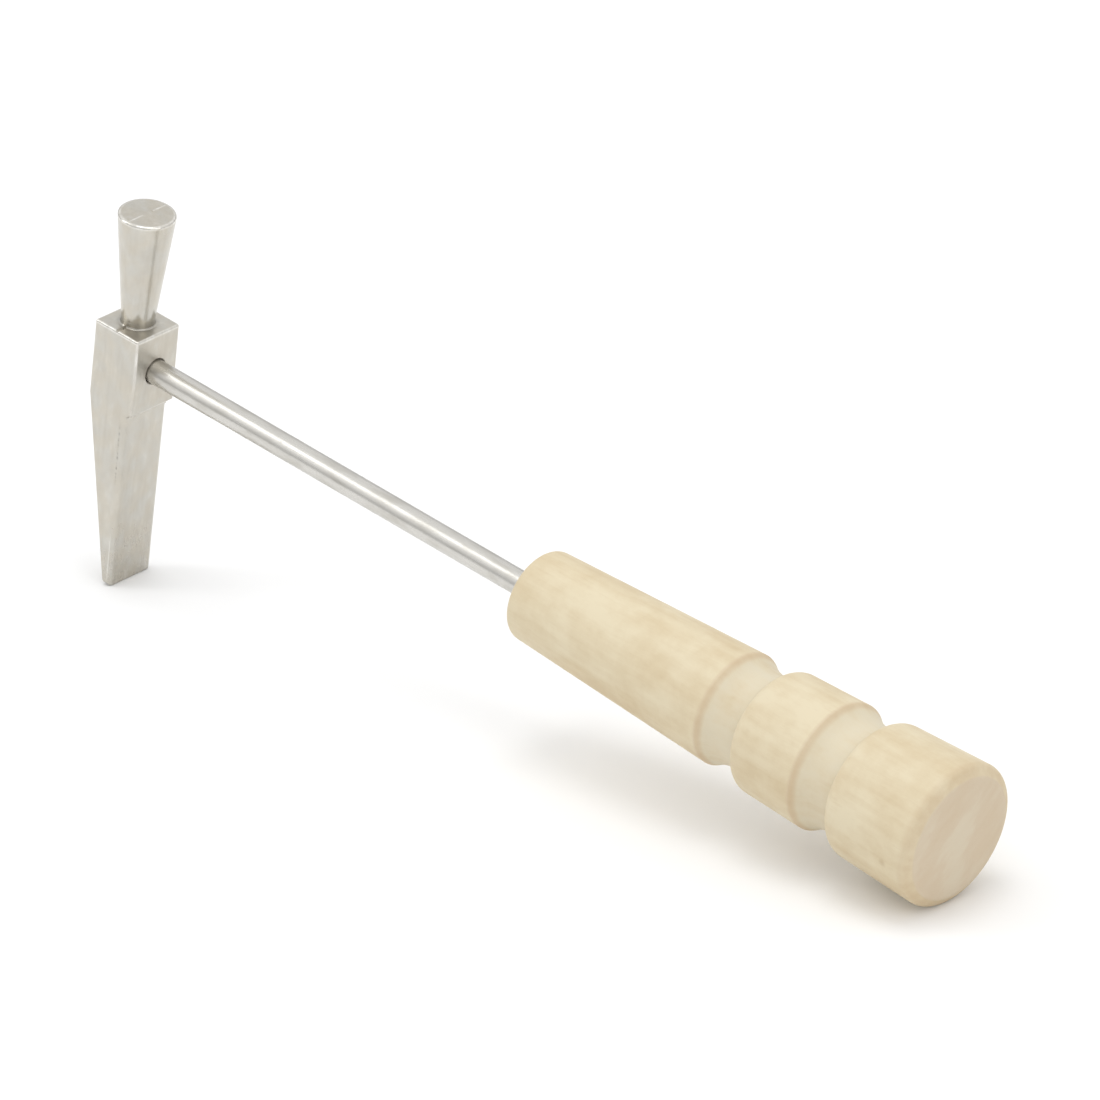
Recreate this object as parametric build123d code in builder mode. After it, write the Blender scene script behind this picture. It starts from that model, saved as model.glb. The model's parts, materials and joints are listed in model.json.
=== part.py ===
from build123d import *
import os
from math import asin, atan2, cos, hypot, sin, tan

# A small hammer in three pieces: a cast steel head, with a round striking crown above the eye and
# a thin cross blade below it, a plain round steel shaft, and a turned wooden handle.
#
# The hammer's own directions are along the shaft (from the head to the butt), up the head (from the
# blade to the crown) and sideways. Every piece is drawn from the eye, the point where the shaft's
# centre line meets the head's. All sizes are in millimetres.

# ---- Shaft ----
SHAFT_DIA = 5.0
SHAFT_BARE = 102.5  # length in the open, from the head to the handle
SHAFT_IN_HEAD = 8.5
SHAFT_IN_HANDLE = 45.0
SHAFT_CHAMFER = 0.4  # on both hidden ends
FIT_GAP = 0.04  # all round the shaft in its two bores, filled by the adhesive
END_GAP = 0.5  # past each end of the shaft, at the bottom of its bore

# ---- Head: block round the eye ----
BLOCK_DEPTH = 11.6  # along the shaft
HEAD_WIDTH = 11.6  # sideways, the same from the block to the blade's tip
BLOCK_HEIGHT = 17.0  # the eye is at its middle
BLOCK_ROUND = 0.45  # on every long edge of the block and the blade
EYE_CHAMFER = 0.3  # at the mouth of the shaft's bore

# ---- Head: striking crown ----
CROWN_DIA = 11.6
CROWN_HEIGHT = 24.5
CROWN_ROUND = 0.5
NECK_DIA = 6.7
NECK_HEIGHT = 1.3
NECK_FILLET = 0.4  # where the neck meets the block's top

# ---- Head: casting seam ----
# The two halves of the mould met in a line that runs sideways across the middle of the head.
SEAM_WIDTH = 0.5  # the low ridge left on the crown's face
SEAM_HEIGHT = 0.12
SEAM_BREAK = 2.6  # length in the middle of the face where the ridge is worn away
NOTCH_SIZE = 0.6  # the V on the block's top, from one side to the neck

# ---- Head: cross blade ----
BLADE_REACH = 48.3  # from the eye to the tip
TIP_THICKNESS = 2.0
TIP_OFFSET = 2.85  # from the head's centre line to the middle of the tip, towards the handle
TIP_CORNER_ROUND = 1.2  # on the two corners of the blade's tip
BLADE_ROUND = 1.1  # on the blade's two long front edges
BLADE_ROUND_DROP = 0.5  # from the bottom of the hollow down to where that round starts
BLADE_STEP = 1.5  # how far the blade's front stands back from the block's face
STEP_DROP = 1.0  # height of the hollow under the block where the front steps back
BACK_STRAIGHT = 7.9  # from the eye down to where the back starts to taper

# ---- Handle ----
# Three lengths, each with its own slight taper, between two turned grooves.
GRIP_LENGTH = 52.0
GRIP_FRONT_DIA = 18.7
GRIP_BACK_DIA = 23.4
RING_LENGTH = 14.2
RING_FRONT_DIA = 25.5
RING_BACK_DIA = 26.5
POMMEL_LENGTH = 18.8
POMMEL_FRONT_DIA = 28.2
POMMEL_BACK_DIA = 29.8
# A groove falls in a hollow curve from the rim in front of it to a level bottom, and rises in a
# round shoulder.
GROOVE_FALL = 5.6
GROOVE_LEVEL = 2.8
GROOVE_RISE = 2.9
GROOVE_DEPTH = 2.85  # below the shoulder
RIM_ROUND = 0.5
FRONT_ROUND = 1.6
BEVEL_LENGTH = 1.4  # of the butt's bevel, along the shaft
BEVEL_WIDTH = 2.4  # of the butt's bevel, across its face
BEVEL_OUTER_ROUND = 1.5
BEVEL_INNER_ROUND = 1.5

# ---- Places along the shaft, from the eye ----
block_face = BLOCK_DEPTH / 2
shaft_start = block_face - SHAFT_IN_HEAD
groove_length = GROOVE_FALL + GROOVE_LEVEL + GROOVE_RISE
grip_start = block_face + SHAFT_BARE
grip_end = grip_start + GRIP_LENGTH
ring_start = grip_end + groove_length
ring_end = ring_start + RING_LENGTH
pommel_start = ring_end + groove_length
pommel_end = pommel_start + POMMEL_LENGTH
butt = pommel_end + BEVEL_LENGTH
shaft_end = grip_start + SHAFT_IN_HANDLE
shaft_length = shaft_end - shaft_start
bore_dia = SHAFT_DIA + 2 * FIT_GAP

# ---- Places up the head, from the eye ----
block_top = BLOCK_HEIGHT / 2
block_bottom = -BLOCK_HEIGHT / 2
crown_top = block_top + CROWN_HEIGHT
tip_front = TIP_OFFSET + TIP_THICKNESS / 2
tip_back = TIP_OFFSET - TIP_THICKNESS / 2

# ---- How it stands ----
# The hammer is modelled as it stands by itself, on the blade's tip and the butt's rim. Both edges
# are rounded, so the floor is the line that touches their two circles from below.
tip_circle = (tip_front - BLOCK_ROUND, BLOCK_ROUND - BLADE_REACH)
bevel_turn = atan2(BEVEL_WIDTH, BEVEL_LENGTH)
rim_circle = (
    pommel_end - BEVEL_OUTER_ROUND * tan(bevel_turn / 2),
    BEVEL_OUTER_ROUND - POMMEL_BACK_DIA / 2,
)
run = rim_circle[0] - tip_circle[0]
rise = rim_circle[1] - tip_circle[1]
lean = atan2(rise, run) + asin((BLOCK_ROUND - BEVEL_OUTER_ROUND) / hypot(run, rise))

# The origin is on the floor, in the middle of the hammer's length from the back of the block to
# the upper edge of the butt.
eye_height = tip_circle[0] * sin(lean) - tip_circle[1] * cos(lean) + BLOCK_ROUND
back_reach = BLOCK_DEPTH / 2 * cos(lean) + BACK_STRAIGHT * sin(lean)
butt_reach = butt * cos(lean) + (POMMEL_BACK_DIA / 2 - BEVEL_WIDTH) * sin(lean)
eye = Vector((back_reach - butt_reach) / 2, 0, eye_height)

along_shaft = Vector(cos(lean), 0, -sin(lean))
up_head = Vector(sin(lean), 0, cos(lean))

# Sketch planes through the eye. On the side plane, sketch X runs along the shaft and sketch Y up
# the head. The shaft plane faces along the shaft, and the head plane faces up the head.
side_plane = Plane(origin=eye, x_dir=along_shaft, z_dir=(0, -1, 0))
shaft_plane = Plane(origin=eye, x_dir=(0, 1, 0), z_dir=along_shaft)
head_plane = Plane(origin=eye, x_dir=along_shaft, z_dir=up_head)
shaft_axis = Axis(origin=eye, direction=along_shaft)
head_axis = Axis(origin=eye, direction=up_head)


def circles(shape, diameter):
    """The circular edges of one diameter on a shape."""
    return shape.edges().filter_by(GeomType.CIRCLE).filter_by(lambda e: abs(2 * e.radius - diameter) < 1e-4)


# ---- Head ----
with BuildPart() as head:
    # Block and blade: one side profile, as wide as the head.
    with BuildSketch(side_plane):
        with BuildLine():
            front = Line((block_face, block_top), (block_face, block_bottom))
            hollow = SagittaArc(
                front @ 1,
                (block_face - BLADE_STEP, block_bottom - STEP_DROP),
                -STEP_DROP / 4,
            )
            Polyline(
                hollow @ 1,
                (tip_front, -BLADE_REACH),
                (tip_back, -BLADE_REACH),
                (-block_face, -BACK_STRAIGHT),
                (-block_face, block_top),
                front @ 0,
            )
        make_face()
    extrude(amount=HEAD_WIDTH / 2, both=True)
    fillet(head.edges().filter_by(shaft_axis).sort_by(head_axis)[:2], radius=TIP_CORNER_ROUND)
    fillet(head.edges(), radius=BLOCK_ROUND)

    # Larger round on each long front edge of the blade, down to the tip.
    round_start = Vector(block_face - BLADE_STEP, block_bottom - STEP_DROP)
    front_run = Vector(tip_front, -BLADE_REACH) - round_start
    front_down = along_shaft * front_run.X + up_head * front_run.Y
    for side in (-1, 1):
        corner = side_plane.from_local_coords(round_start) + Vector(0, side * HEAD_WIDTH / 2, 0)
        edge_plane = Plane(origin=corner, x_dir=(0, side, 0), z_dir=front_down)
        with BuildSketch(edge_plane.offset(BLADE_ROUND_DROP)):
            Rectangle(2 * BLADE_ROUND, 2 * BLADE_ROUND)
            with Locations((-BLADE_ROUND, -side * BLADE_ROUND)):
                Circle(BLADE_ROUND, mode=Mode.SUBTRACT)
        extrude(amount=front_run.length, mode=Mode.SUBTRACT)

    # Neck and crown, on the block's top.
    with BuildSketch(head_plane.offset(block_top)):
        Circle(NECK_DIA / 2)
    extrude(amount=NECK_HEIGHT)
    with BuildSketch(head_plane.offset(block_top + NECK_HEIGHT)):
        Circle(NECK_DIA / 2)
    with BuildSketch(head_plane.offset(crown_top)):
        Circle(CROWN_DIA / 2)
    loft()
    fillet(circles(head, CROWN_DIA), radius=CROWN_ROUND)
    fillet(circles(head, NECK_DIA).sort_by(head_axis)[0], radius=NECK_FILLET)

    # Seam notch on the block's top, from one side in to the neck.
    with BuildSketch(side_plane.offset(NECK_DIA / 2)):
        with Locations((0, block_top)):
            Rectangle(NOTCH_SIZE, NOTCH_SIZE, rotation=45)
    extrude(amount=HEAD_WIDTH - NECK_DIA, mode=Mode.SUBTRACT)

    # Seam ridge across the crown's flat face, in two lengths with a break between them.
    seam_reach = CROWN_DIA / 2 - CROWN_ROUND
    for seam_end in (-SEAM_BREAK / 2, seam_reach):
        with BuildSketch(side_plane.offset(seam_end)):
            with BuildLine():
                Polyline(
                    (-SEAM_WIDTH / 2, crown_top),
                    (0, crown_top + SEAM_HEIGHT),
                    (SEAM_WIDTH / 2, crown_top),
                    close=True,
                )
            make_face()
        extrude(amount=SEAM_BREAK / 2 - seam_reach)

    # Blind bore for the shaft.
    with BuildSketch(shaft_plane.offset(shaft_start - END_GAP)):
        Circle(bore_dia / 2)
    extrude(amount=SHAFT_IN_HEAD + END_GAP, mode=Mode.SUBTRACT)
    chamfer(circles(head, bore_dia).sort_by(shaft_axis)[-1], length=EYE_CHAMFER)
head.part.label = "hammer_head"

# ---- Shaft ----
with BuildPart() as shaft:
    with BuildSketch(shaft_plane.offset(shaft_start)):
        Circle(SHAFT_DIA / 2)
    extrude(amount=shaft_length)
    chamfer(circles(shaft, SHAFT_DIA), length=SHAFT_CHAMFER)
shaft.part.label = "shaft"

# ---- Handle ----
with BuildPart() as handle:
    with BuildSketch(side_plane):
        with BuildLine():
            grip = Line((grip_start, GRIP_FRONT_DIA / 2), (grip_end, GRIP_BACK_DIA / 2))
            ring = Line((ring_start, RING_FRONT_DIA / 2), (ring_end, RING_BACK_DIA / 2))
            pommel = Line((pommel_start, POMMEL_FRONT_DIA / 2), (pommel_end, POMMEL_BACK_DIA / 2))
            for before, after in ((grip, ring), (ring, pommel)):
                bottom = after @ 0 - Vector(GROOVE_RISE, GROOVE_DEPTH)
                level = Line(bottom, bottom - Vector(GROOVE_LEVEL, 0))
                TangentArc(after @ 0, bottom, tangent=after.tangent_at(0) * -1)
                TangentArc(level @ 1, before @ 1, tangent=(-1, 0))
            Polyline(
                pommel @ 1,
                (butt, POMMEL_BACK_DIA / 2 - BEVEL_WIDTH),
                (butt, 0),
                (grip_start, 0),
                grip @ 0,
            )
        make_face()
    revolve(axis=shaft_axis)
    fillet(circles(handle, GRIP_FRONT_DIA), radius=FRONT_ROUND)
    fillet(circles(handle, GRIP_BACK_DIA) + circles(handle, RING_BACK_DIA), radius=RIM_ROUND)
    fillet(circles(handle, POMMEL_BACK_DIA), radius=BEVEL_OUTER_ROUND)
    fillet(circles(handle, POMMEL_BACK_DIA - 2 * BEVEL_WIDTH), radius=BEVEL_INNER_ROUND)

    # Bore for the shaft, from the front.
    with BuildSketch(shaft_plane.offset(grip_start)):
        Circle(bore_dia / 2)
    extrude(amount=SHAFT_IN_HANDLE + END_GAP, mode=Mode.SUBTRACT)
handle.part.label = "handle"

os.makedirs("parts", exist_ok=True)
export_step(head.part, "parts/hammer_head.step")
export_step(shaft.part, "parts/shaft.step")
export_step(handle.part, "parts/handle.step")
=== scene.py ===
"""A small hammer on a pale studio floor: cast head, steel shaft and turned wooden handle."""

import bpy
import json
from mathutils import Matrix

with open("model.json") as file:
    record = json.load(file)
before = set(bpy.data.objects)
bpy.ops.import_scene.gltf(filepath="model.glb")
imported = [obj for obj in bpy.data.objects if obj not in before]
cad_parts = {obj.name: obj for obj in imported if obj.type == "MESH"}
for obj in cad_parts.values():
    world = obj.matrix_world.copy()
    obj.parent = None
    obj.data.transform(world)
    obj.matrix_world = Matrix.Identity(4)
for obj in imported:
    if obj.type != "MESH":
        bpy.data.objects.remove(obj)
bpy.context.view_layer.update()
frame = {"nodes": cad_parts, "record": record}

import json
import logging
import math
from collections.abc import Mapping, Sequence
from dataclasses import dataclass, field
from enum import Enum

import bmesh
import bpy
from mathutils import Matrix, Vector

log = logging.getLogger("hammer")

MM = 0.001

Colour = tuple[float, float, float]
Point = tuple[float, float, float]


# ---------------------------------------------------------------------------
# Shader maths
# ---------------------------------------------------------------------------


class Wire:
    """An output socket that takes part in Python arithmetic, each step adding a Math node."""

    def __init__(self, graph: "Graph", socket: bpy.types.NodeSocket) -> None:
        """Wrap a socket.

        Args:
            graph: The graph that the socket's node belongs to.
            socket: The output socket.
        """
        self.graph = graph
        self.socket = socket

    def math(self, operation: str, *values: "Feed") -> "Wire":
        """Add a Math node that starts from this value.

        Args:
            operation: The Math node's operation.
            values: The node's other inputs.

        Returns:
            The result.
        """
        return self.graph.math(operation, self, *values)

    def __add__(self, other: "Feed") -> "Wire":
        """This value plus another."""
        return self.math("ADD", other)

    __radd__ = __add__

    def __sub__(self, other: "Feed") -> "Wire":
        """This value less another."""
        return self.math("SUBTRACT", other)

    def __rsub__(self, other: "Feed") -> "Wire":
        """Another value less this one."""
        return self.graph.math("SUBTRACT", other, self)

    def __mul__(self, other: "Feed") -> "Wire":
        """This value times another."""
        return self.math("MULTIPLY", other)

    __rmul__ = __mul__

    def __truediv__(self, other: "Feed") -> "Wire":
        """This value divided by another."""
        return self.math("DIVIDE", other)

    def __pow__(self, other: "Feed") -> "Wire":
        """This value to a power."""
        return self.math("POWER", other)

    def __abs__(self) -> "Wire":
        """This value without its sign."""
        return self.math("ABSOLUTE")

    def sine(self) -> "Wire":
        """The sine of this value, in radians."""
        return self.math("SINE")

    def root(self) -> "Wire":
        """The square root of this value."""
        return self.math("SQRT")

    def most(self, other: "Feed") -> "Wire":
        """The larger of this value and another."""
        return self.math("MAXIMUM", other)

    def about(self, middle: float, reach: float) -> "Wire":
        """Turn a noise, which is 0.5 on average, into a value about a middle.

        Args:
            middle: The value on average.
            reach: How strongly the noise changes it.

        Returns:
            The value.
        """
        return (self - 0.5) * reach + middle

    def rise(self, low: float, high: float) -> "Wire":
        """A smooth step.

        Args:
            low: Where the step starts, at 0.
            high: Where it ends, at 1. It may be below low, for a falling step.

        Returns:
            The step, from 0 to 1.
        """
        settings = {"interpolation_type": "SMOOTHSTEP"}
        if low < high:
            return self.graph.node("ShaderNodeMapRange", settings, {0: self, 1: low, 2: high})
        return 1 - self.graph.node("ShaderNodeMapRange", settings, {0: self, 1: high, 2: low})

    def between(self, low: float, high: float, soft: float) -> "Wire":
        """A band that is 1 from low to high.

        Args:
            low: The band's lower limit.
            high: Its upper limit.
            soft: Half the width of its soft edges.

        Returns:
            The band, from 0 to 1.
        """
        return self.rise(low - soft, low + soft) * self.rise(high + soft, high - soft)


Feed = Wire | float | int | Sequence[float]
Axes = tuple[Wire, Wire, Wire]


class Graph:
    """The node graph of one material or world, built from expressions."""

    def __init__(self, tree: bpy.types.NodeTree) -> None:
        """Empty a node tree and build in it.

        Args:
            tree: The node tree.
        """
        self.tree = tree
        tree.nodes.clear()

    def _feed(self, socket: bpy.types.NodeSocket, value: Feed) -> None:
        """Link or set one input.

        Args:
            socket: The input socket.
            value: A wire to link, or a constant to set.
        """
        if isinstance(value, Wire):
            self.tree.links.new(value.socket, socket)
        elif socket.type == "RGBA" and isinstance(value, Sequence) and len(value) == 3:
            socket.default_value = (*value, 1.0)
        else:
            socket.default_value = value

    def node(
        self,
        kind: str,
        settings: Mapping[str, object] | None = None,
        inputs: Mapping[str | int, Feed] | None = None,
        output: str | int = 0,
    ) -> Wire:
        """Add a node.

        Args:
            kind: The node's type.
            settings: Its properties. The key "stops" holds a ramp's (position, colour) pairs.
            inputs: What its sockets get, by name or index.
            output: The output to return, by name or index.

        Returns:
            That output.
        """
        made = self.tree.nodes.new(kind)
        for name, value in (settings or {}).items():
            if name == "stops":
                self._set_stops(made.color_ramp, value)
            else:
                setattr(made, name, value)
        for name, value in (inputs or {}).items():
            self._feed(made.inputs[name], value)
        return Wire(self, made.outputs[output])

    @staticmethod
    def _set_stops(ramp: bpy.types.ColorRamp, stops: Sequence[tuple[float, Colour]]) -> None:
        """Fill a colour ramp.

        Args:
            ramp: The ramp, with its two first stops.
            stops: (position, colour) pairs, in order.
        """
        while len(ramp.elements) < len(stops):
            ramp.elements.new(1.0)
        for element, (place, colour) in zip(ramp.elements, stops):
            element.position = place
            element.color = (*colour, 1.0)

    def math(self, operation: str, *values: Feed) -> Wire:
        """Add a Math node.

        Args:
            operation: Its operation.
            values: Its inputs, in order.

        Returns:
            The result.
        """
        return self.node("ShaderNodeMath", {"operation": operation}, dict(enumerate(values)))

    def vector(self, x: Feed, y: Feed, z: Feed) -> Wire:
        """Join three values into a vector."""
        return self.node("ShaderNodeCombineXYZ", None, {0: x, 1: y, 2: z})

    def dot(self, vector: Wire, direction: Sequence[float]) -> Wire:
        """How far a vector reaches along a direction."""
        settings, inputs = {"operation": "DOT_PRODUCT"}, {0: vector, 1: tuple(direction)}
        return self.node("ShaderNodeVectorMath", settings, inputs, "Value")

    def noise(
        self, place: Wire, detail: float = 2.0, rough: float = 0.5, scale: float = 1.0
    ) -> Wire:
        """Add a noise texture.

        Args:
            place: Where it is read.
            detail: Its octaves.
            rough: How strong the finer octaves are.
            scale: Its frequency.

        Returns:
            The noise, about 0.5 on average.
        """
        values = {"Vector": place, "Scale": scale, "Detail": detail, "Roughness": rough}
        return self.node("ShaderNodeTexNoise", None, values, "Fac")

    def colours(self, fac: Feed, first: Feed, second: Feed) -> Wire:
        """Lay one colour over another.

        Args:
            fac: How much of the second colour shows.
            first: The colour below.
            second: The colour on top.

        Returns:
            The mixed colour.
        """
        settings = {"data_type": "RGBA", "clamp_factor": True}
        return self.node("ShaderNodeMix", settings, {0: fac, 6: first, 7: second}, 2)

    def ramp(self, fac: Wire, stops: Sequence[tuple[float, Colour]]) -> Wire:
        """Turn a value into a colour.

        Args:
            fac: The value, from 0 to 1.
            stops: (position, colour) pairs, in order.

        Returns:
            The colour.
        """
        return self.node("ShaderNodeValToRGB", {"stops": stops}, {0: fac})

    def bump(self, height: Wire, distance: float, below: Wire | None = None) -> Wire:
        """Raise a surface by a height from 0 to 1.

        Args:
            height: The height.
            distance: What a height of 1 stands for, in metres.
            below: Another bump that this one lies on.

        Returns:
            The changed normal.
        """
        inputs: dict[str | int, Feed] = {"Height": height, "Distance": distance}
        if below is not None:
            inputs["Normal"] = below
        return self.node("ShaderNodeBump", None, inputs)

    def principled(self, inputs: Mapping[str | int, Feed]) -> Wire:
        """Add the Principled shader, with what its sockets get by name."""
        return self.node("ShaderNodeBsdfPrincipled", None, inputs)


# ---------------------------------------------------------------------------
# The hammer's own directions
# ---------------------------------------------------------------------------


@dataclass(frozen=True)
class Stance:
    """Where the hammer's eye is and how it leans, worked out from its two mounts."""

    eye: Vector
    along: Vector
    up: Vector

    @classmethod
    def from_record(cls, record: Mapping[str, object]) -> "Stance":
        """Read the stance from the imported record.

        Args:
            record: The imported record.

        Returns:
            The stance. The eye is where the shaft's line meets the head's.
        """
        mounts = {mount["name"]: mount for mount in record["mounts"]}
        butt = Vector(mounts["butt_face"]["pos_m"])
        crown = Vector(mounts["striking_face"]["pos_m"])
        along = Vector(mounts["butt_face"]["axis"]).normalized()
        up = Vector(mounts["striking_face"]["axis"]).normalized()
        return cls(eye=butt - along * (butt - crown).dot(along), along=along, up=up)

    def axes(self, graph: Graph) -> Axes:
        """Give a shader its place on the hammer.

        Args:
            graph: The material's graph.

        Returns:
            Millimetres from the eye along the shaft, sideways and up the head.
        """
        place = graph.node("ShaderNodeTexCoord", None, None, "Object")
        side = Vector((0, 1, 0))
        return tuple(
            (graph.dot(place, way) - self.eye.dot(way)) / MM for way in (self.along, side, self.up)
        )


# ---------------------------------------------------------------------------
# Finishes
# ---------------------------------------------------------------------------


class Finish:
    """What every finish shares: it makes a named material from its own shader."""

    def build(self, name: str) -> bpy.types.Material:
        """Make the material.

        Args:
            name: Its name.

        Returns:
            The material.
        """
        material = bpy.data.materials.new(name)
        material.use_nodes = True
        graph = Graph(material.node_tree)
        surface = self.surface(graph)
        out = graph.tree.nodes.new("ShaderNodeOutputMaterial")
        graph.tree.links.new(surface.socket, out.inputs["Surface"])
        return material

    def surface(self, graph: Graph) -> Wire:
        """Build the shader.

        Args:
            graph: The material's graph.

        Returns:
            The shader's output.
        """
        raise NotImplementedError


@dataclass(frozen=True)
class CastPlating(Finish):
    """Soft grey plating over a cast head, a little wavy, with fine pits and a stained blade tip.

    Places, widths and depths are in millimetres. A place is measured from the eye: a block face
    along the shaft or sideways, a height along the head.
    """

    stance: Stance
    warm: Colour = (0.580, 0.546, 0.476)
    cool: Colour = (0.568, 0.552, 0.505)
    # Used for real stains and streaks, and for painted shade round the shaft on the block's face.
    stain_and_shade: Colour = (0.480, 0.440, 0.375)
    # Dark colour used for real pits, the seam and glue, and for painted shade at the neck, the
    # bore's mouth and the step's corner.
    grime_and_shade: Colour = (0.050, 0.042, 0.035)
    # Bright metal used for rubbed patches and the seam's scrape, and for painted highlights on the
    # edges and the step's lip.
    rubbed_and_highlight: Colour = (0.860, 0.845, 0.800)
    sheen_rough: float = 0.23
    block_face: float = 5.8
    block_top: float = 8.5
    edge_width: float = 0.60
    bore_radius: float = 2.54
    halo_width: float = 2.4
    mouth_width: float = 0.45
    neck_radius: float = 3.35
    collar_width: float = 1.3
    crown_radius: float = 5.8
    crown_top: float = 33.0
    rim_width: float = 0.9
    step_high: float = -8.25
    step_low: float = -8.95
    blade_start: float = -10.2
    blade_tip: float = -48.3
    seam_place: float = 3.05
    seam_width: float = 0.24
    scrape_width: float = 0.18
    wave_depth: float = 0.055
    brush_depth: float = 0.004
    grain_depth: float = 0.0006
    dent_depth: float = 0.02

    def surface(self, graph: Graph) -> Wire:
        """Build the plated surface.

        Args:
            graph: The material's graph.

        Returns:
            The shader's output.
        """
        axes = self.stance.axes(graph)
        x, y, z = axes
        place = graph.vector(x, y, z)
        blotch = graph.noise(place, 3.0, 0.55, 0.22)
        cloud = graph.noise(graph.vector(x, y, z * 0.4), 4.0, 0.6, 0.9)
        mottle = graph.noise(graph.vector(x * 0.45, y * 0.45, z * 0.24), 4.0, 0.58)
        brush = graph.noise(graph.vector(x * 1.5, y * 1.5, z * 0.07), 4.0, 0.6)
        pits = graph.noise(place, 1.0, 0.5, 2.6).rise(0.800, 0.840)
        stained = z.rise(self.blade_tip * 0.55, self.blade_tip) * cloud.rise(0.3, 0.75)
        worn_and_highlit = self._worn_and_highlit_edges(axes, cloud)
        seam, scrape = self._seam(graph, axes, cloud)

        colour = graph.colours(blotch.rise(0.35, 0.65), self.warm, self.cool)
        colour = graph.colours(stained * 0.22, colour, self.stain_and_shade)
        colour = graph.colours(mottle.rise(0.40, 0.72) * 0.34, colour, self.stain_and_shade)
        colour = graph.colours(mottle.rise(0.46, 0.26) * 0.15, colour, self.rubbed_and_highlight)
        colour = graph.colours(pits * 0.30, colour, self.grime_and_shade)
        # Painted shade round the shaft and the bore's mouth.
        colour = self._darken_bore(graph, axes, mottle, colour)
        colour = graph.colours(0.18 * brush.rise(0.45, 0.72), colour, self.stain_and_shade)
        # Painted shade round the crown's neck.
        colour = self._shade_neck(graph, axes, cloud, colour)
        # Bright edges: rubbed wear with painted highlights.
        colour = graph.colours(worn_and_highlit, colour, self.rubbed_and_highlight)
        # Painted highlight and painted shadow at the step below the block.
        colour = self._paint_step_light(graph, axes, cloud, colour)
        colour = graph.colours(seam * 0.42, colour, self.grime_and_shade)
        colour = graph.colours(scrape * 0.38, colour, self.rubbed_and_highlight)

        flat_faces = x.rise(self.block_face - 0.35, self.block_face - 0.05)
        flat_faces = flat_faces.most(z.between(self.block_top - 0.2, self.block_top + 0.05, 0.1))
        rough = self.sheen_rough + 0.12 * (cloud - 0.5) + 0.10 * (brush - 0.5)
        rough = rough + 0.08 * stained + 0.25 * pits + 0.15 * flat_faces - 0.07 * worn_and_highlit

        waves = graph.bump(graph.noise(place, 2.0, 0.5, 0.45), self.wave_depth * MM)
        drawn = graph.bump(brush, self.brush_depth * MM, waves)
        grain = graph.bump(graph.noise(place, 2.0, 0.5, 3.0), self.grain_depth * MM, drawn)
        dents = graph.bump(1 - seam, self.dent_depth * MM, grain)
        return graph.principled(
            {"Base Color": colour, "Metallic": 1.0, "Roughness": rough, "Normal": dents}
        )

    def _darken_bore(self, graph: Graph, axes: Axes, mottle: Wire, colour: Wire) -> Wire:
        """Paint shade on the block's face round the shaft, where the two parts meet, and darken
        the mouth of the bore with glue and painted shade in the gap.

        Args:
            graph: The material's graph.
            axes: The place on the hammer.
            mottle: The noise that breaks the painted shade up.
            colour: The colour so far.

        Returns:
            The colour with the painted shade and the dark mouth on it.
        """
        x, y, z = axes
        off_axis = (y * y + z * z).root()
        # Painted shade on the block's face next to the shaft, fading out from the bore.
        halo = off_axis.rise(self.bore_radius + self.halo_width, self.bore_radius)
        halo = halo * x.rise(self.block_face - 0.4, self.block_face)
        colour = graph.colours(halo * mottle.about(0.22, 0.6), colour, self.stain_and_shade)
        # The bore's dark mouth: glue in the gap, and painted shade there.
        mouth = off_axis.rise(self.bore_radius + self.mouth_width, self.bore_radius + 0.1)
        mouth = mouth * x.rise(self.block_face - 0.7, self.block_face - 0.1)
        return graph.colours(mouth * 0.6, colour, self.grime_and_shade)

    def _shade_neck(self, graph: Graph, axes: Axes, cloud: Wire, colour: Wire) -> Wire:
        """Paint shade round the crown's neck, in the recess where it meets the block's top.

        Args:
            graph: The material's graph.
            axes: The place on the hammer.
            cloud: The noise that breaks the painted shade up.
            colour: The colour so far.

        Returns:
            The colour with the painted shade on it.
        """
        x, y, z = axes
        off_crown = (x * x + y * y).root()
        # Painted shade: darker in the recess round the neck, just above the block's top.
        collar = off_crown.rise(self.neck_radius + self.collar_width, self.neck_radius + 0.1)
        collar = collar * z.between(self.block_top - 0.3, self.block_top + 1.5, 0.4)
        return graph.colours(collar * cloud.about(0.22, 0.8), colour, self.grime_and_shade)

    def _worn_and_highlit_edges(self, axes: Axes, cloud: Wire) -> Wire:
        """Find the edges painted bright: partly rubbed by handling, partly painted highlights.

        Args:
            axes: The place on the hammer.
            cloud: The noise that breaks the bright edges up.

        Returns:
            How bright each edge is painted, as rubbed wear and painted highlight: the block's
            corners and top edges, the crown's rim and its crest.
        """
        x, y, z = axes
        # Bright edges: partly rubbed wear, partly painted highlights on the corners, top edges,
        # rim and crest.
        near_x = abs(x).rise(self.block_face - self.edge_width, self.block_face - 0.22)
        near_y = abs(y).rise(self.block_face - self.edge_width, self.block_face - 0.22)
        near_top = z.between(self.block_top - 0.65, self.block_top + 0.2, 0.25)
        off_crown = (x * x + y * y).root()
        rim = off_crown.rise(self.crown_radius - self.rim_width, self.crown_radius - 0.4)
        rim = rim * z.rise(self.crown_top - self.rim_width, self.crown_top - 0.4)
        crest = abs(x).rise(0.40, 0.15) * z.rise(self.crown_top - 0.15, self.crown_top)
        crest = crest * abs(y).rise(1.2, 1.5)
        corners = near_x * near_y * z.rise(-8.0, 5.0)
        worn_and_highlit = corners.most(near_top * near_x.most(near_y)).most(rim).most(crest)
        return worn_and_highlit * cloud.about(0.50, 1.6)

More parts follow.
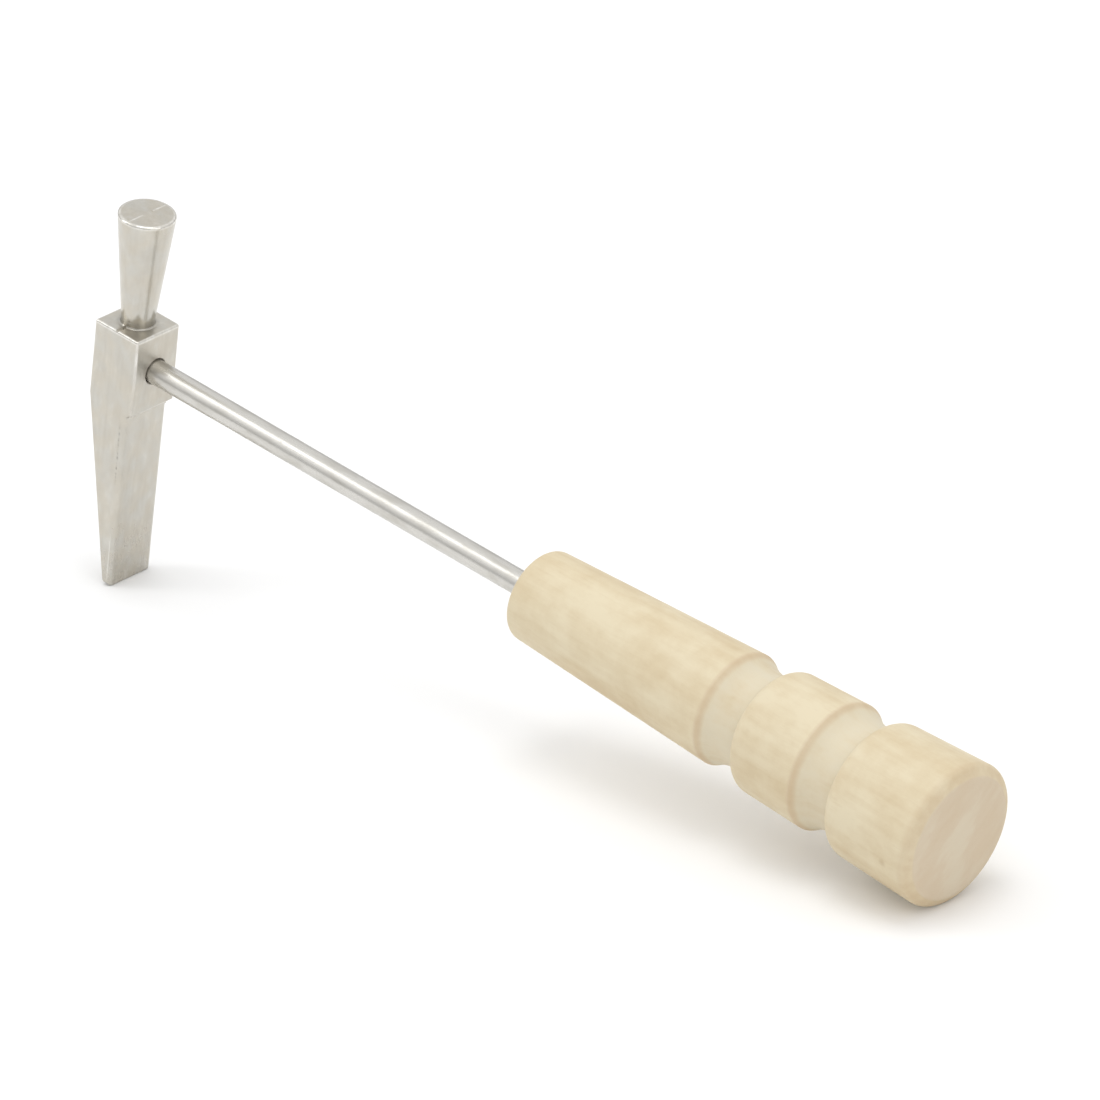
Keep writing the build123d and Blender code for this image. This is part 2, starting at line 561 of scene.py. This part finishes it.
    def _paint_step_light(self, graph: Graph, axes: Axes, cloud: Wire, colour: Wire) -> Wire:
        """Paint a highlight along the rounded edge of the step below the block, and a painted
        shadow in its nearer corner.

        Args:
            graph: The material's graph.
            axes: The place on the hammer.
            cloud: The noise that breaks the painted highlight up.
            colour: The colour so far.

        Returns:
            The colour with the step's painted highlight and painted shadow on it.
        """
        x, y, z = axes
        # Painted highlight along the step's rounded lip, on the part away from the shadow.
        lip = x.rise(4.7, 5.1) * z.between(self.step_low, self.step_high, 0.15)
        lit_part = y.rise(-3.9, -2.9)
        colour = graph.colours(lip * lit_part * cloud.about(0.75, 1.2), colour, self.rubbed_and_highlight)
        # Painted shadow in the step's nearer corner, under the block.
        under = x.rise(3.0, 3.4) * z.between(self.step_low - 0.30, self.step_low + 0.15, 0.2)
        under = under * (0.05 + 0.45 * y.between(-5.2, -3.7, 0.5))
        return graph.colours(under, colour, self.grime_and_shade)

    def _seam(self, graph: Graph, axes: Axes, cloud: Wire) -> tuple[Wire, Wire]:
        """Find the casting's seam, which runs down the blade beside its rounded front edge.

        Args:
            graph: The material's graph.
            axes: The place on the hammer.
            cloud: The noise that makes the seam wander.

        Returns:
            The seam's row of pits, and the bright scrape on it near the tip.
        """
        x, y, z = axes
        off_seam = abs(x - self.seam_place + 0.10 * (cloud - 0.5))
        side = y.rise(0.3 - self.block_face, 0.15 - self.block_face)
        run = z.between(self.blade_start - 14, self.blade_start - 1.5, 1.2)
        beads = graph.noise(graph.vector(0.0, 0.0, z * 1.3), 2.0).rise(0.45, 0.60)
        seam = off_seam.rise(self.seam_width, 0.06) * side * run * beads
        scraped = z.between(self.blade_tip + 1.5, self.blade_tip + 11, 1.5)
        scrape = off_seam.rise(self.scrape_width, 0.05) * side * scraped
        return seam, scrape


@dataclass(frozen=True)
class DrawnSteel(Finish):
    """Bright drawn steel rod, with hairlines along it and faint handling marks.

    Depths are in millimetres.
    """

    stance: Stance
    bright: Colour = (0.640, 0.625, 0.590)
    dull: Colour = (0.545, 0.528, 0.485)
    sheen_rough: float = 0.26
    hair_depth: float = 0.003
    wave_depth: float = 0.008

    def surface(self, graph: Graph) -> Wire:
        """Build the rod's surface.

        Args:
            graph: The material's graph.

        Returns:
            The shader's output.
        """
        x, y, z = self.stance.axes(graph)
        hairs = graph.noise(graph.vector(x * 0.05, y * 9, z * 9), 2.0, 0.6)
        smears = graph.noise(graph.vector(x * 0.12, y * 0.5, z * 0.5), 4.0, 0.6)
        marks = graph.noise(graph.vector(x * 1.4, y * 0.9, z * 0.9), 1.0, 0.5).rise(0.70, 0.76)
        colour = graph.colours(smears.rise(0.42, 0.72), self.bright, self.dull)
        colour = graph.colours(marks * 0.25, colour, self.dull)
        rough = self.sheen_rough + 0.10 * (smears - 0.5) + 0.05 * hairs + 0.08 * marks
        lines = graph.bump(hairs, self.hair_depth * MM)
        waves = graph.bump(smears, self.wave_depth * MM, lines)
        return graph.principled(
            {"Base Color": colour, "Metallic": 1.0, "Roughness": rough, "Normal": waves}
        )


@dataclass(frozen=True)
class TurnedWood(Finish):
    """Pale bare wood, turned round and sanded, with its end grain on the butt.

    Places and depths are in millimetres, and a place is measured from the eye.
    """

    stance: Stance
    light: Colour = (0.715, 0.628, 0.450)
    middle: Colour = (0.622, 0.508, 0.328)
    dark: Colour = (0.480, 0.355, 0.205)
    groove: Colour = (0.672, 0.608, 0.468)
    end: Colour = (0.640, 0.548, 0.415)
    burr: Colour = (0.575, 0.438, 0.288)
    gloss: float = 0.35
    grip_end: float = 160.3
    ring_start: float = 171.6
    ring_end: float = 185.8
    pommel_start: float = 197.1
    pommel_end: float = 215.9
    butt: float = 217.3
    pith: tuple[float, float] = (-13.0, 31.0)
    ring_pitch: float = 2.3
    knot: Point = (211.0, -14.6, -2.6)
    knot_radius: float = 1.15
    fibre_depth: float = 0.012
    turning_depth: float = 0.006
    fleck_depth: float = 0.006
    pore_depth: float = 0.030

    def surface(self, graph: Graph) -> Wire:
        """Build the wood.

        Args:
            graph: The material's graph.

        Returns:
            The shader's output.
        """
        axes = self.stance.axes(graph)
        x, y, z = axes
        years = self._years(graph, axes)
        streak = graph.noise(graph.vector(x * 0.022, y * 0.42, z * 0.42), 5.0, 0.62)
        fibre = graph.noise(graph.vector(x * 0.30, y * 6, z * 6), 3.0, 0.6)
        patch = graph.noise(graph.vector(x * 0.03, y * 0.09, z * 0.09), 2.0)
        fleck = graph.noise(graph.vector(x * 0.55, y * 3.4, z * 3.4), 0.0).rise(0.70, 0.80)
        figure = graph.noise(graph.vector(x * 0.15, y * 0.17, z * 0.17), 5.0, 0.62)
        pores = graph.noise(graph.vector(x, y * 3.2, z * 3.2), 2.0, 0.6)
        cut = x.rise(self.pommel_end + 0.05, self.pommel_end + 0.5)
        face = x.rise(self.butt - 0.35, self.butt - 0.08)

        tone = 0.05 * years + 0.18 * streak.rise(0.34, 0.74) + 0.75 * (patch - 0.5)
        tone = tone + 0.85 * (figure - 0.5) + 0.12 * (fibre - 0.5) + 0.16
        colour = graph.ramp(tone, ((0.05, self.light), (0.50, self.middle), (1.0, self.dark)))
        colour = graph.colours(fleck * 0.07, colour, self.dark)
        colour = graph.colours(self._knot(axes) * (0.25 + figure) * 0.55, colour, self.dark)
        colour = self._turned_bands(graph, x, figure, streak, colour)
        colour = graph.colours(cut * figure.about(0.14, 0.8), colour, self.burr)
        colour = graph.colours(face, colour, self._end_grain(graph, axes, years, pores))

        rough = 0.56 + 0.14 * fibre + 0.10 * cut - 0.06 * years
        wander = 2.2 * graph.noise(graph.vector(x * 0.6, 0.0, 0.0))
        turning = (x * 11.0 + wander).sine() * 0.5 + 0.5
        bump = graph.bump(fibre, self.fibre_depth * MM)
        bump = graph.bump(turning * (1 - face), self.turning_depth * MM, bump)
        bump = graph.bump(1 - fleck, self.fleck_depth * MM, bump)
        bump = graph.bump(pores * face, self.pore_depth * MM, bump)
        return graph.principled(
            {
                "Base Color": colour,
                "Roughness": rough,
                "Normal": bump,
                "Specular IOR Level": self.gloss,
            }
        )

    def _years(self, graph: Graph, axes: Axes) -> Wire:
        """Draw the tree's yearly rings, which drift a little along the handle.

        Args:
            graph: The material's graph.
            axes: The place on the hammer.

        Returns:
            The rings, from 0 to 1.
        """
        x, y, z = axes
        drift = graph.noise(graph.vector(x * 0.014, y * 0.05, z * 0.05), 2.0)
        from_pith = ((y - self.pith[0]) ** 2 + (z - self.pith[1]) ** 2).root() + drift * 9
        return (from_pith * (2 * math.pi / self.ring_pitch)).sine() * 0.5 + 0.5

    def _knot(self, axes: Axes) -> Wire:
        """Find the small knot beside the butt.

        Args:
            axes: The place on the hammer.

        Returns:
            The knot, from 0 to 1.
        """
        x, y, z = ((way - middle) ** 2 for way, middle in zip(axes, self.knot))
        return (x + y + z).root().rise(self.knot_radius, 0.25)

    def _turned_bands(
        self, graph: Graph, x: Wire, figure: Wire, streak: Wire, colour: Wire
    ) -> Wire:
        """Lighten the floors of the two grooves and brown the rims beside them.

        Args:
            graph: The material's graph.
            x: The place along the shaft.
            figure: The noise of the wood's figure.
            streak: The noise of its streaks.
            colour: The colour so far.

        Returns:
            The colour with the bands on it.
        """
        grooves = x.between(self.grip_end + 0.9, self.ring_start - 2.2, 0.7)
        grooves = grooves + x.between(self.ring_end + 0.9, self.pommel_start - 2.2, 0.7)
        sanded = 0.62 - 1.1 * (figure - 0.5) - 0.9 * (streak - 0.5)
        colour = graph.colours(grooves * sanded, colour, self.groove)
        rims = x.between(self.grip_end - 0.5, self.grip_end + 0.9, 0.5)
        rims = rims + x.between(self.ring_end - 0.5, self.ring_end + 0.9, 0.5)
        rims = rims + 0.45 * x.between(self.pommel_end - 1.0, self.butt, 0.6)
        return graph.colours(rims * figure.about(0.55, 0.7), colour, self.burr)

    def _end_grain(self, graph: Graph, axes: Axes, years: Wire, pores: Wire) -> Wire:
        """Build the butt's colour, where the wood is cut across.

        Args:
            graph: The material's graph.
            axes: The place on the hammer.
            years: The yearly rings.
            pores: The noise of the open pores.

        Returns:
            The colour.
        """
        x, y, z = axes
        across = (y * y + z * z).root()
        sawn = graph.noise(graph.vector(x, (y + z) * 0.05, (y - z) * 0.14), 4.0, 0.58)
        tone = 0.08 * years + 1.1 * (sawn - 0.5) + 0.35 * (pores - 0.5) + 0.20
        pale = sawn.rise(0.52, 0.40) * across.rise(14.0, 8.0) * 0.36
        return graph.colours(pale, graph.colours(tone, self.end, self.burr), self.groove)


@dataclass(frozen=True)
class PaperFloor(Finish):
    """Matt white studio paper, whose fine tooth is a number of bumps to the metre."""

    paper: Colour = (0.93, 0.93, 0.93)
    tooth: float = 900.0
    gloss: float = 0.1

    def surface(self, graph: Graph) -> Wire:
        """Build the floor's surface.

        Args:
            graph: The material's graph.

        Returns:
            The shader's output.
        """
        place = graph.node("ShaderNodeTexCoord", None, None, "Object")
        rough = 0.85 + 0.1 * graph.noise(place, 3.0, 0.6, self.tooth)
        return graph.principled(
            {"Base Color": self.paper, "Roughness": rough, "Specular IOR Level": self.gloss}
        )


# ---------------------------------------------------------------------------
# The hammer
# ---------------------------------------------------------------------------


class Part(Enum):
    """A part of the hammer, by the name of its node."""

    HEAD = "hammer_head"
    SHAFT = "shaft"
    HANDLE = "handle"


@dataclass
class Piece:
    """A piece that CAD made, and how it is dressed."""

    part: Part
    finish: Finish
    material_name: str

    def dress(self) -> bpy.types.Object:
        """Put the finish on the piece.

        Returns:
            The dressed object.
        """
        piece = frame["nodes"][self.part.value]
        material = self.finish.build(self.material_name)
        for place in piece.material_slots:
            place.material = material
        log.info("%s dressed in %s", self.part.value, self.material_name)
        return piece


@dataclass
class Hammer:
    """The whole hammer: head, shaft and handle."""

    stance: Stance
    pieces: tuple[Piece, ...] = field(init=False)

    def __post_init__(self) -> None:
        """List the pieces with their finishes."""
        self.pieces = (
            Piece(Part.HEAD, CastPlating(self.stance), "cast_plating"),
            Piece(Part.SHAFT, DrawnSteel(self.stance), "drawn_steel"),
            Piece(Part.HANDLE, TurnedWood(self.stance), "turned_wood"),
        )

    def build(self) -> None:
        """Dress every piece."""
        for piece in self.pieces:
            piece.dress()


# ---------------------------------------------------------------------------
# The studio
# ---------------------------------------------------------------------------


@dataclass(frozen=True)
class Softbox:
    """A rectangular area light."""

    name: str
    place: Point
    width: float
    height: float
    power: float
    aim: Point = (0.0, 0.0, 0.03)

    def build(self) -> None:
        """Hang the light and turn it to what it lights."""
        data = bpy.data.lights.new(self.name, "AREA")
        data.shape = "RECTANGLE"
        data.size, data.size_y = self.width, self.height
        data.energy = self.power
        lamp = bpy.data.objects.new(self.name, data)
        lamp.location = self.place
        towards = Vector(self.aim) - Vector(self.place)
        lamp.rotation_euler = towards.to_track_quat("-Z", "Y").to_euler()
        bpy.context.scene.collection.objects.link(lamp)
        log.info("%s lit", self.name)


@dataclass(frozen=True)
class Viewpoint:
    """A long-lens camera that looks down at the hammer from one corner.

    Angles are in degrees, lengths in metres, and the sensor's width in millimetres.
    """

    azimuth: float = 43.9726
    elevation: float = 25.648
    roll: float = -1.526
    distance: float = 3.0
    target: Point = (-0.0011845, 0.0071653, 0.0368547)
    field_width: float = 0.209404
    sensor: float = 36.0
    near: float = 0.1
    far: float = 200.0

    def build(self) -> None:
        """Set up the camera."""
        turn, lift = math.radians(self.azimuth), math.radians(self.elevation)
        level = math.cos(lift)
        back = Vector((math.sin(turn) * level, -math.cos(turn) * level, math.sin(lift)))
        right = Vector((math.cos(turn), math.sin(turn), 0))
        axes = Matrix((right, back.cross(right), back)).transposed().to_4x4()
        data = bpy.data.cameras.new("camera")
        data.sensor_width = self.sensor
        data.lens = self.sensor * self.distance / self.field_width
        data.clip_start, data.clip_end = self.near, self.far
        camera = bpy.data.objects.new("camera", data)
        placed = Matrix.Translation(Vector(self.target) + back * self.distance)
        camera.matrix_world = placed @ axes @ Matrix.Rotation(math.radians(self.roll), 4, "Z")
        bpy.context.scene.collection.objects.link(camera)
        bpy.context.scene.camera = camera
        log.info("camera set at %.1f, %.1f degrees", self.azimuth, self.elevation)


@dataclass
class Studio:
    """Pale floor, soft light from above and both sides, and the camera.

    The room lights the hammer as sky overhead and horizon low down, and is seen as plain white.
    """

    floor_reach: float = 30.0
    sky: Colour = (0.97, 0.97, 0.97)
    sky_height: float = 0.6
    horizon: Colour = (0.52, 0.52, 0.52)
    strength: float = 1.0
    seen: Colour = (1.0, 1.0, 1.0)
    lights: tuple[Softbox, ...] = (
        Softbox("key_light", (-0.91, -0.64, 0.84), 0.30, 1.5, 2.5),
        Softbox("top_light", (0.05, -0.02, 1.4), 0.6, 0.6, 3.7),
        Softbox("right_light", (1.5, -0.2, 0.9), 1.0, 1.0, 2.6),
    )
    view: Viewpoint = field(default_factory=Viewpoint)

    def build(self) -> None:
        """Build the studio."""
        self._floor()
        self._world()
        for light in self.lights:
            light.build()
        self.view.build()
        bpy.context.scene.view_settings.view_transform = "Standard"

    def _floor(self) -> None:
        """Lay the floor."""
        mesh = bpy.data.meshes.new("floor")
        shape = bmesh.new()
        bmesh.ops.create_grid(shape, x_segments=1, y_segments=1, size=self.floor_reach)
        shape.to_mesh(mesh)
        shape.free()
        floor = bpy.data.objects.new("floor", mesh)
        mesh.materials.append(PaperFloor().build("studio_paper"))
        bpy.context.scene.collection.objects.link(floor)
        log.info("floor laid")

    def _world(self) -> None:
        """Light the room evenly, brighter overhead than at the horizon."""
        world = bpy.data.worlds.new("studio")
        world.use_nodes = True
        bpy.context.scene.world = world
        graph = Graph(world.node_tree)
        way = graph.node("ShaderNodeTexCoord", None, None, "Generated")
        height = graph.dot(way, (0.0, 0.0, 1.0)).rise(0.0, self.sky_height)
        lit = graph.colours(height, self.horizon, self.sky)
        room = graph.node("ShaderNodeBackground", None, {"Color": lit, "Strength": self.strength})
        plain = graph.node("ShaderNodeBackground", None, {"Color": self.seen, "Strength": 1.0})
        direct = graph.node("ShaderNodeLightPath", None, None, "Is Camera Ray")
        mixed = graph.node("ShaderNodeMixShader", None, {0: direct, 1: room, 2: plain})
        out = graph.tree.nodes.new("ShaderNodeOutputWorld")
        graph.tree.links.new(mixed.socket, out.inputs["Surface"])


def main() -> None:
    """Build the hammer and its studio."""
    logging.basicConfig(level=logging.INFO, format="%(name)s: %(message)s")
    Hammer(Stance.from_record(frame["record"])).build()
    Studio().build()


if __name__ == "__main__":
    main()
